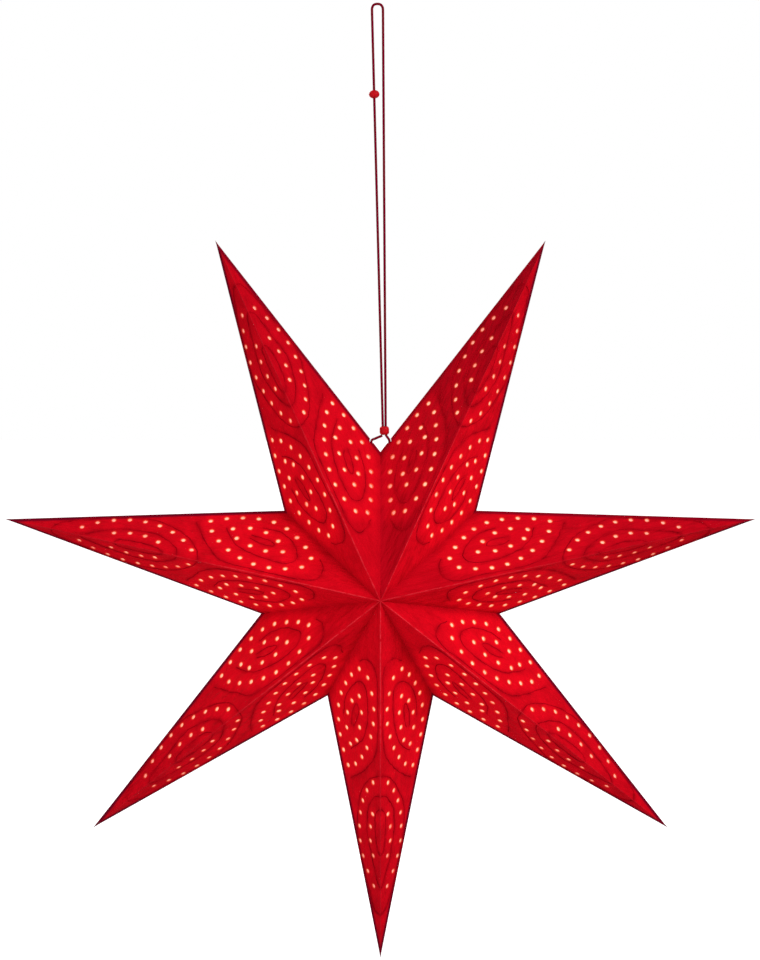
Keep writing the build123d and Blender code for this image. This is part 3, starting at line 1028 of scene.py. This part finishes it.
def plain_finish(name, dark, light, roughness, scale, metallic=0.0, height=0.00005, specular=0.4):
    """A finish with a faint mottle in its colour and surface."""
    material, tree, shader = new_material(name)
    colour, pattern = mottled(tree, object_place(tree), scale, dark, light)
    tree.links.new(colour, shader.inputs["Base Color"])
    shader.inputs["Roughness"].default_value = roughness
    shader.inputs["Metallic"].default_value = metallic
    shader.inputs["Specular IOR Level"].default_value = specular
    bump(tree, shader, pattern, height)
    return material


GLASS_IOR = 1.46


def clear_glass(name, roughness, tint):
    material, _, shader = new_material(name)
    shader.inputs["Base Color"].default_value = (*tint, 1.0)
    shader.inputs["Transmission Weight"].default_value = 1.0
    shader.inputs["Roughness"].default_value = roughness
    shader.inputs["IOR"].default_value = GLASS_IOR
    return material


FILAMENT_DARK = (0.9, 0.6, 0.25)
FILAMENT_LIGHT = (1.0, 0.8, 0.45)
FILAMENT_MOTTLE = 900.0
FILAMENT_STRENGTH = 1.5


def lit_filament():
    material, tree, shader = new_material("lit_filament")
    colour, _ = mottled(tree, object_place(tree), FILAMENT_MOTTLE, FILAMENT_DARK, FILAMENT_LIGHT)
    tree.links.new(colour, shader.inputs["Base Color"])
    tree.links.new(colour, shader.inputs["Emission Color"])
    shader.inputs["Emission Strength"].default_value = FILAMENT_STRENGTH
    return material


# Assembly

paper = red_paper()
lining = lining_paper()
thread = plain_finish(
    "dark_thread", dark=(0.20, 0.0005, 0.004), light=(0.46, 0.0012, 0.008),
    roughness=0.8, scale=85.0, specular=0.0,
)
cord_cotton = plain_finish(
    "cord_cotton", dark=(0.120, 0.0007, 0.0070), light=(0.165, 0.0012, 0.0110),
    roughness=0.9, scale=700.0, height=0.00002, specular=0.0,
)
bead_wood = plain_finish(
    "bead_wood", dark=(0.34, 0.0015, 0.006), light=(0.50, 0.004, 0.009),
    roughness=0.45, scale=260.0, specular=0.06,
)
steel = plain_finish(
    "nickel_steel", dark=(0.50, 0.50, 0.52), light=(0.62, 0.62, 0.64),
    roughness=0.32, scale=500.0, metallic=1.0,
)
holder_plastic = plain_finish(
    "holder_plastic", dark=(0.80, 0.79, 0.76), light=(0.86, 0.85, 0.82), roughness=0.5, scale=300.0
)
porcelain = plain_finish(
    "porcelain", dark=(0.82, 0.81, 0.78), light=(0.88, 0.87, 0.84), roughness=0.2, scale=120.0
)
brass = plain_finish(
    "brass", dark=(0.68, 0.48, 0.19), light=(0.80, 0.60, 0.28), roughness=0.3, scale=400.0, metallic=1.0
)
black_insulator = plain_finish(
    "black_insulator", dark=(0.015, 0.015, 0.016), light=(0.03, 0.03, 0.032), roughness=0.3, scale=300.0
)
bulb_glass = clear_glass("bulb_glass", roughness=0.02, tint=(0.90, 0.86, 0.78))
stem_glass = clear_glass("stem_glass", roughness=0.1, tint=(0.97, 0.97, 0.95))

for number in range(1, POINT_COUNT + 1):
    for face in ("front", "back"):
        for side in ("left", "right"):
            panel = make_panel(number, face, side)
            leans = crease_leans(panel)
            make_paper(panel, cut_paper(panel), leans, paper)
            make_lining(panel, cut_lining(panel), leans, lining)
            make_stitches(panel, leans, thread)

make_cord("hanging_cord_laid", "hanging_cord", HANGING_ROUTE, "hanging_side", cord_cotton)
make_cord("left_tie_laid", "left_tie", LEFT_ROUTE, "point_7_front_right", cord_cotton)

NODE_FINISHES = {
    "cinch_bead": bead_wood, "stop_bead": bead_wood,
    "hanging_eye": steel, "eye_nut": steel, "bulb_contact": steel, "bulb_screw_cap": steel,
    "lampholder_cap": holder_plastic, "lampholder_body": holder_plastic, "bulb_collar": holder_plastic,
    "contact_block": porcelain, "screw_shell": brass, "centre_contact": brass, "terminal_screws": brass,
    "bulb_insulator": black_insulator, "bulb_glass": bulb_glass, "filament_stem": stem_glass,
    "filaments": lit_filament(),
}
for node, finish in NODE_FINISHES.items():
    materials = frame["nodes"][node].data.materials
    materials.clear()
    materials.append(finish)

# Stage, light and camera

FLOOR_DROP = 1.15
FLOOR_SIZE = 40.0
FLOOR_COLOUR = (0.65, 0.65, 0.65, 1.0)
FLOOR_ROUGHNESS = 0.9
FLOOR_GLOW = (1.9, 2.8, 0.22, 1.0)
WHITE = (1.0, 1.0, 1.0, 1.0)
AMBIENT = 0.42


def white_for_camera(tree):
    """One where the camera, a reflection or glass sees the surface."""
    path = add_node(tree, "ShaderNodeLightPath")
    seen = math_node(tree, "MAXIMUM", path.outputs["Is Camera Ray"], path.outputs["Is Glossy Ray"])
    return math_node(tree, "MAXIMUM", seen, path.outputs["Is Transmission Ray"])


def pale_floor():
    """White all over, with the lamps' light and the object's shadow on it under the object."""
    material, tree, shader = new_material("pale_floor")
    shader.inputs["Base Color"].default_value = FLOOR_COLOUR
    shader.inputs["Roughness"].default_value = FLOOR_ROUGHNESS
    shader.inputs["Specular IOR Level"].default_value = 0.0
    away = add_node(
        tree, "ShaderNodeVectorMath", {0: object_place(tree), 1: (CENTRE.x, 0.0, CENTRE.z - FLOOR_DROP)},
        operation="DISTANCE",
    ).outputs["Value"]
    white = add_node(tree, "ShaderNodeEmission", {"Color": WHITE})
    strength = product(tree, ramp_value(tree, away, *FLOOR_GLOW), white_for_camera(tree))
    tree.links.new(strength, white.inputs["Strength"])
    total = add_node(tree, "ShaderNodeAddShader", {0: shader.outputs[0], 1: white.outputs[0]})
    output = next(n for n in tree.nodes if n.type == "OUTPUT_MATERIAL")
    tree.links.new(total.outputs[0], output.inputs["Surface"])
    return material


half = FLOOR_SIZE / 2
level = CENTRE.z - FLOOR_DROP
floor = new_object(
    "floor", [(-half, -half, level), (half, -half, level), (half, half, level), (-half, half, level)],
    [(0, 1, 2, 3)], pale_floor(),
)

world = bpy.data.worlds.new("studio")
bpy.context.scene.world = world
world.use_nodes = True
tree = world.node_tree
background = next(n for n in tree.nodes if n.type == "BACKGROUND")
strength = add_node(
    tree, "ShaderNodeMapRange", {"Value": white_for_camera(tree), "To Min": AMBIENT, "To Max": 1.0}
)
background.inputs["Color"].default_value = WHITE
tree.links.new(strength.outputs["Result"], background.inputs["Strength"])


def area_light(name, offset, size, power):
    """A square lamp that hangs beside the star and points at its centre."""
    light = bpy.data.lights.new(name, "AREA")
    light.size = size
    light.energy = power
    lamp = bpy.data.objects.new(name, light)
    lamp.location = CENTRE + Vector(offset)
    lamp.rotation_euler = (-Vector(offset)).to_track_quat("-Z", "Y").to_euler()
    bpy.context.scene.collection.objects.link(lamp)


area_light("key", offset=(2.0, -1.9, 1.7), size=1.4, power=80.0)
area_light("fill", offset=(-1.4, -2.5, 0.1), size=1.8, power=36.0)
area_light("back", offset=(-1.2, 2.6, 1.4), size=1.8, power=60.0)

CAMERA_DISTANCE = 2.0
CAMERA_SIDE = -0.0004
CAMERA_RISE = 7.95
CAMERA_PITCH = -4.85
CAMERA_LENS = 73.84
CAMERA_SENSOR = 36.0
camera_data = bpy.data.cameras.new("camera")
camera_data.lens = CAMERA_LENS
camera_data.sensor_width = CAMERA_SENSOR
camera = bpy.data.objects.new("camera", camera_data)
rise = math.radians(CAMERA_RISE)
camera.location = CENTRE + Vector(
    (CAMERA_SIDE, -CAMERA_DISTANCE * math.cos(rise), CAMERA_DISTANCE * math.sin(rise))
)
camera.rotation_euler = (math.radians(90 + CAMERA_PITCH), 0.0, 0.0)
bpy.context.scene.collection.objects.link(camera)
bpy.context.scene.camera = camera
bpy.context.scene.view_settings.view_transform = "Standard"
